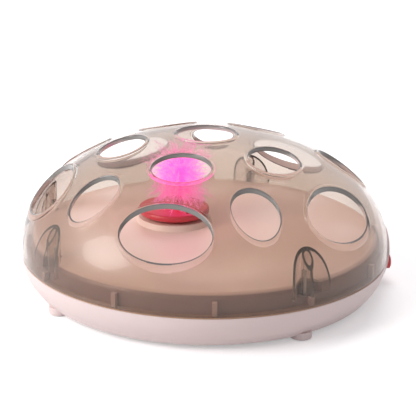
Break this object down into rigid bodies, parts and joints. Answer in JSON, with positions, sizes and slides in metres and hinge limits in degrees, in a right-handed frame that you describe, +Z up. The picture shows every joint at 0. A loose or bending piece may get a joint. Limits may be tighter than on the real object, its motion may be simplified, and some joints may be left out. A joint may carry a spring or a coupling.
{
  "type": "cat feather dome toy",
  "caption": "Battery-driven cat toy: a smoked dome with round paw holes over a tray where a feather turns on a red disc, push button on the side.",
  "frame": {"origin": "on the floor below the dome's axis, in the plane of the four foot pads", "axes": "+Z up along the dome's axis, +X towards the push button, +Y completes the right-handed frame"},
  "size_m": [0.2556, 0.25, 0.106],
  "materials": {
    "base_plastic": "satin moulded ABS, pale pink beige",
    "tray_plastic": "satin gloss moulded ABS, warm cream",
    "smoked_clear": "clear smoked polycarbonate, polished",
    "pod_plastic": "satin moulded ABS, cream",
    "button_red": "glossy red ABS",
    "board_green": "solder-masked glass laminate",
    "black_plastic": "moulded black plastic",
    "cell_wrap": "plain grey cell sleeve",
    "plated_steel": "nickel-plated spring steel",
    "door_plastic": "satin moulded ABS, pale pink beige",
    "drive_plastic": "moulded off-white plastic",
    "bush_bronze": "sintered bronze",
    "steel": "ground steel",
    "screw_steel": "zinc-plated steel",
    "gear_acetal": "moulded acetal",
    "brass_pinion": "cut brass",
    "motor_can": "plated drawn steel can",
    "disc_red": "satin gloss red ABS",
    "ferrule_plastic": "moulded pink plastic",
    "feather_pink": "dyed marabou down",
    "foot_rubber": "moulded rubber"
  },
  "bodies": {
    "housing": {"base_shell": "base_plastic", "tray": "tray_plastic", "dome": "smoked_clear", "control_pod": "pod_plastic", "switch_board": "board_green", "tact_switch": "black_plastic", "battery_cells": "cell_wrap", "battery_contacts": "plated_steel", "gearbox_frame": "drive_plastic", "gearbox_cover": "drive_plastic", "shaft_bush": "bush_bronze", "idler_pin": "steel", "gearbox_screws": "screw_steel", "drive_motor": "motor_can", "circuit_board": "board_green", "board_components": "black_plastic", "board_screws": "screw_steel", "foot_pads": "foot_rubber", "housing_screws": "screw_steel"},
    "rotor": {"output_gear": "gear_acetal", "output_shaft": "steel", "rotor_disc": "disc_red", "feather_wand": "steel", "wand_ferrule": "ferrule_plastic", "feather_plume": "feather_pink"},
    "idler": {"idler_gear": "gear_acetal"},
    "pinion": {"motor_pinion": "brass_pinion", "motor_shaft": "steel"},
    "door": {"battery_door": "door_plastic"},
    "button": {"power_button": "button_red"}
  },
  "joints": [
    {"name": "rotor_spin", "type": "hinge", "parent": "housing", "child": "rotor", "pos_m": [-0.0213, 0, 0.05], "axis": [0, 0, 1], "continuous": true},
    {"name": "idler_spin", "type": "hinge", "parent": "housing", "child": "idler", "pos_m": [-0.0068, 0, 0.035], "axis": [0, 0, 1], "continuous": true},
    {"name": "pinion_spin", "type": "hinge", "parent": "housing", "child": "pinion", "pos_m": [0.0057, 0, 0.033], "axis": [0, 0, 1], "continuous": true},
    {"name": "button_press", "type": "slide", "parent": "housing", "child": "button", "axis": [-1, 0, 0], "range_m": [0, 0.0008], "stiffness_N_per_m": 800},
    {"name": "door_slide", "type": "slide", "parent": "housing", "child": "door", "axis": [1, 0, 0], "range_m": [0, 0.01]}
  ],
  "couplings": [
    {"joint": "idler_spin", "follows": "rotor_spin", "ratio": -4.8},
    {"joint": "pinion_spin", "follows": "rotor_spin", "ratio": 19.2}
  ]
}
